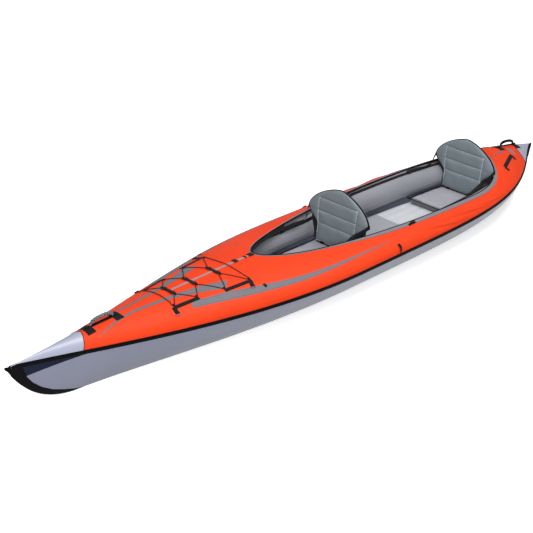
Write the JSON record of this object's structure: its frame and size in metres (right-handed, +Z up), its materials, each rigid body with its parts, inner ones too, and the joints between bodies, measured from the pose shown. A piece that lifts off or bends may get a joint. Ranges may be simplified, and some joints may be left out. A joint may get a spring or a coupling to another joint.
{
  "type": "inflatable tandem kayak",
  "caption": "Inflatable tandem kayak with an orange fabric deck, grey hull, open cockpit, padded fold-down seat backs, laced foredeck and carry handles.",
  "frame": {"origin": "below the middle of the overall box, on the plane the flat bottom rests on", "axes": "+X runs to the bow, +Y to port, +Z up"},
  "size_m": [4.572, 0.816, 0.5176],
  "materials": {
    "hull_skin": "satin vinyl",
    "deck_fabric": "coated woven fabric",
    "cap_film": "glossy vinyl",
    "black_vinyl": "matte vinyl",
    "webbing": "woven nylon",
    "tube_film": "satin film",
    "floor_film": "satin film",
    "seat_pad": "coated woven fabric",
    "rib_metal": "drawn",
    "seat_fabric": "woven polyester",
    "seat_panel": "matte",
    "buckle_plastic": "moulded",
    "cord": "braided sheath",
    "ring_metal": "nickel plated",
    "grey_webbing": "woven nylon",
    "handle_braid": "braided sleeve",
    "valve_plastic": "moulded",
    "plunger_plastic": "moulded"
  },
  "bodies": {
    "hull": {"hull_skin": "hull_skin", "deck_cover": "deck_fabric", "bow_deck_cap": "cap_film", "stern_deck_cap": "cap_film", "bow_guard": "black_vinyl", "stern_guard": "black_vinyl", "bow_edge": "black_vinyl", "stern_edge": "black_vinyl", "port_seam_welt": "black_vinyl", "starboard_seam_welt": "black_vinyl", "cockpit_piping": "black_vinyl", "cockpit_zip_tape": "webbing", "port_main_tube": "tube_film", "starboard_main_tube": "tube_film", "floor_panel": "floor_film", "floor_pad": "seat_pad", "bow_rib": "rib_metal", "stern_rib": "rib_metal", "front_deck_lift": "tube_film", "rear_deck_lift": "tube_film", "port_tube_webbing": "webbing", "starboard_tube_webbing": "webbing", "front_seat_cushion": "seat_pad", "rear_seat_cushion": "seat_pad", "front_seat_loops": "webbing", "rear_seat_loops": "webbing", "front_port_strap": "webbing", "front_starboard_strap": "webbing", "rear_port_strap": "webbing", "rear_starboard_strap": "webbing", "strap_buckles": "buckle_plastic", "shock_cord": "cord", "cord_guides": "webbing", "port_cord_anchors": "webbing", "starboard_cord_anchors": "webbing", "deck_strap": "grey_webbing", "deck_buckle": "buckle_plastic", "bow_handle_base": "webbing", "stern_handle_base": "webbing", "gunwale_loops": "webbing", "stern_webbing": "webbing", "side_tabs": "webbing", "port_valve": "valve_plastic", "starboard_valve": "valve_plastic"},
    "front_seat": {"front_seat_back": "seat_fabric", "front_back_panel": "seat_panel", "front_hinge_rod": "seat_panel"},
    "rear_seat": {"rear_seat_back": "seat_fabric", "rear_back_panel": "seat_panel", "rear_hinge_rod": "seat_panel"},
    "bow_grip": {"bow_handle": "handle_braid"},
    "stern_grip": {"stern_handle": "handle_braid"},
    "port_fore_ring": {"port_fore_ring": "ring_metal"},
    "port_aft_ring": {"port_aft_ring": "ring_metal"},
    "starboard_fore_ring": {"starboard_fore_ring": "ring_metal"},
    "starboard_aft_ring": {"starboard_aft_ring": "ring_metal"},
    "port_valve_cap": {"port_valve_cap": "valve_plastic"},
    "starboard_valve_cap": {"starboard_valve_cap": "valve_plastic"},
    "port_plunger": {"port_valve_plunger": "plunger_plastic"},
    "starboard_plunger": {"starboard_valve_plunger": "plunger_plastic"}
  },
  "joints": [
    {"name": "front_seat_fold", "type": "hinge", "parent": "hull", "child": "front_seat", "pos_m": [-0.178, 0, 0.14835], "axis": [0, 1, 0], "range_deg": [0, 30], "deforming": ["front_port_strap", "front_starboard_strap"]},
    {"name": "rear_seat_fold", "type": "hinge", "parent": "hull", "child": "rear_seat", "pos_m": [-1.464, 0, 0.14835], "axis": [0, 1, 0], "range_deg": [0, 47], "deforming": ["rear_port_strap", "rear_starboard_strap"]},
    {"name": "bow_handle_swing", "type": "hinge", "parent": "hull", "child": "bow_grip", "pos_m": [1.668, 0, 0.32857], "axis": [0.9991, 0, -0.0429], "range_deg": [-70, 70]},
    {"name": "stern_handle_swing", "type": "hinge", "parent": "hull", "child": "stern_grip", "pos_m": [-1.97, 0, 0.36328], "axis": [0.989, 0, 0.1481], "range_deg": [-70, 70]},
    {"name": "port_fore_ring_swing", "type": "hinge", "parent": "hull", "child": "port_fore_ring", "pos_m": [1.28248, 0.16615, 0.2963], "axis": [0.9894, 0, -0.1452], "range_deg": [0, 150]},
    {"name": "starboard_fore_ring_swing", "type": "hinge", "parent": "hull", "child": "starboard_fore_ring", "pos_m": [1.28248, -0.16615, 0.2963], "axis": [-0.9894, 0, 0.1452], "range_deg": [0, 150]},
    {"name": "port_aft_ring_swing", "type": "hinge", "parent": "hull", "child": "port_aft_ring", "pos_m": [0.78222, 0.23344, 0.31154], "axis": [0.9982, 0, -0.0607], "range_deg": [0, 150]},
    {"name": "starboard_aft_ring_swing", "type": "hinge", "parent": "hull", "child": "starboard_aft_ring", "pos_m": [0.78222, -0.23344, 0.31154], "axis": [-0.9982, 0, 0.0607], "range_deg": [0, 150]},
    {"name": "port_cap_hinge", "type": "hinge", "parent": "hull", "child": "port_valve_cap", "pos_m": [-1.562, 0.14355, 0.28526], "axis": [-1, 0, 0], "range_deg": [0, 150]},
    {"name": "port_plunger_press", "type": "slide", "parent": "hull", "child": "port_plunger", "axis": [0, 0.809, -0.5878], "range_m": [0, 0.005], "stiffness_N_per_m": 150},
    {"name": "starboard_cap_hinge", "type": "hinge", "parent": "hull", "child": "starboard_valve_cap", "pos_m": [-1.562, -0.14355, 0.28526], "axis": [1, 0, 0], "range_deg": [0, 150]},
    {"name": "starboard_plunger_press", "type": "slide", "parent": "hull", "child": "starboard_plunger", "axis": [0, -0.809, -0.5878], "range_m": [0, 0.005], "stiffness_N_per_m": 150}
  ]
}
